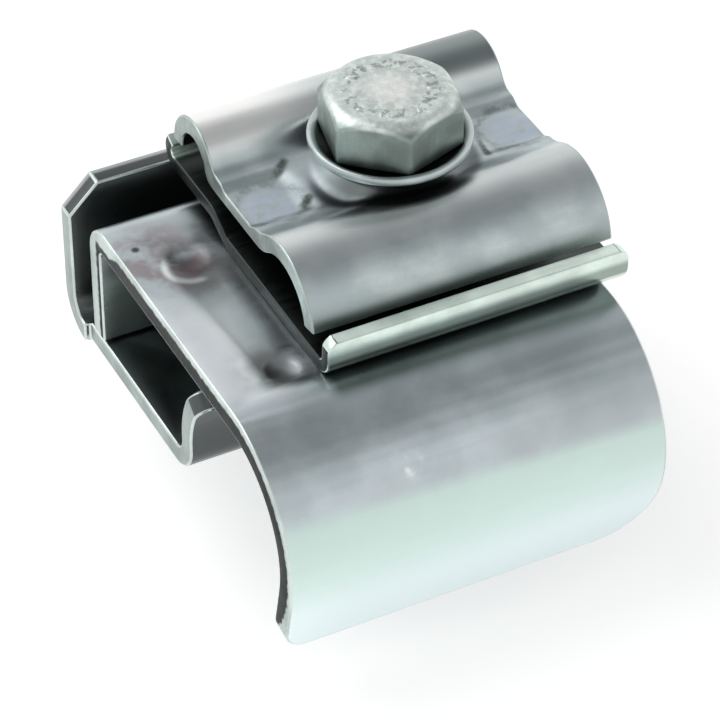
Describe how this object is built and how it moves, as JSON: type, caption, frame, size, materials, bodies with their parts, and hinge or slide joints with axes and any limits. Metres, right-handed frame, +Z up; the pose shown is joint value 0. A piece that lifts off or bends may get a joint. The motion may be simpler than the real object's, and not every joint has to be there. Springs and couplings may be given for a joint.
{
  "type": "earth rod clamp",
  "caption": "Two-part hooked clamp for a 20 mm earth rod, with a pair of pressed conductor cleats drawn down by one hexagon bolt.",
  "frame": {"origin": "on the earth rod's axis, at the middle of the saddle strap's width", "axes": "+X along the rod, +Y to the back, towards the bolt and the bracket's wall, +Z up out of the bolt's head"},
  "size_m": [0.0438, 0.0522, 0.0453],
  "materials": {
    "strap_sheet": "satin mill finish with faint heat tint",
    "bracket_sheet": "satin mill finish",
    "lower_cleat_sheet": "satin, tumbled edges",
    "upper_cleat_sheet": "satin, tumbled edges",
    "bolt_steel": "matt forged",
    "washer_steel": "satin",
    "nut_steel": "matt forged"
  },
  "bodies": {
    "saddle": {"rod_strap": "strap_sheet", "lower_cleat": "lower_cleat_sheet"},
    "cleat_cap": {"upper_cleat": "upper_cleat_sheet", "dished_washer": "washer_steel"},
    "bolt": {"clamp_bolt": "bolt_steel"},
    "bracket": {"rod_bracket": "bracket_sheet", "hexagon_nut": "nut_steel"}
  },
  "joints": [
    {"name": "cleat_lift", "type": "slide", "parent": "saddle", "child": "cleat_cap", "axis": [0, 0, 1], "range_m": [0, 0.00375]},
    {"name": "bolt_turn", "type": "hinge", "parent": "cleat_cap", "child": "bolt", "pos_m": [0.0061, 0.0189, 0.0226], "axis": [0, 0, 1], "range_deg": [0, 2160]},
    {"name": "bracket_drop", "type": "slide", "parent": "saddle", "child": "bracket", "axis": [0, 0, -1], "range_m": [0, 0.00375]}
  ],
  "couplings": [
    {"joint": "bolt_turn", "follows": "cleat_lift", "rad_per_m": 10053},
    {"joint": "bracket_drop", "follows": "cleat_lift", "ratio": 1}
  ]
}
